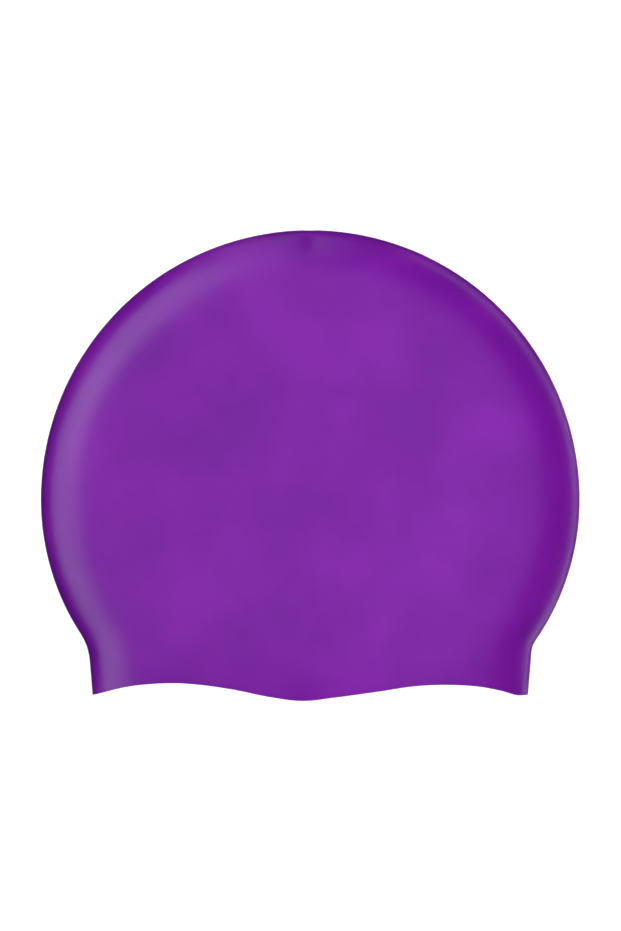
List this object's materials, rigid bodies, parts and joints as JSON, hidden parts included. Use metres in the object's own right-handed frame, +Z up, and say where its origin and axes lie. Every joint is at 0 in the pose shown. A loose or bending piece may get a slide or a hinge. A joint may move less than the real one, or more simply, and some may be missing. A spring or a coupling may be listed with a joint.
{
  "type": "swim cap",
  "caption": "One-piece moulded silicone swim cap with a round dome, a short skirt and a wavy hem with ear lobes, lying flat and open at its mouth.",
  "frame": {"origin": "on the surface that the cap lies on, under the middle of its outline", "axes": "+X across the face along the widest line, +Y from the mouth up to the crown, +Z up from the surface through the cap's depth"},
  "size_m": [0.22, 0.1919, 0.0303],
  "materials": {
    "silicone": "purple moulded silicone rubber, satin"
  },
  "bodies": {
    "root": {"cap_shell": "silicone"}
  },
  "joints": []
}
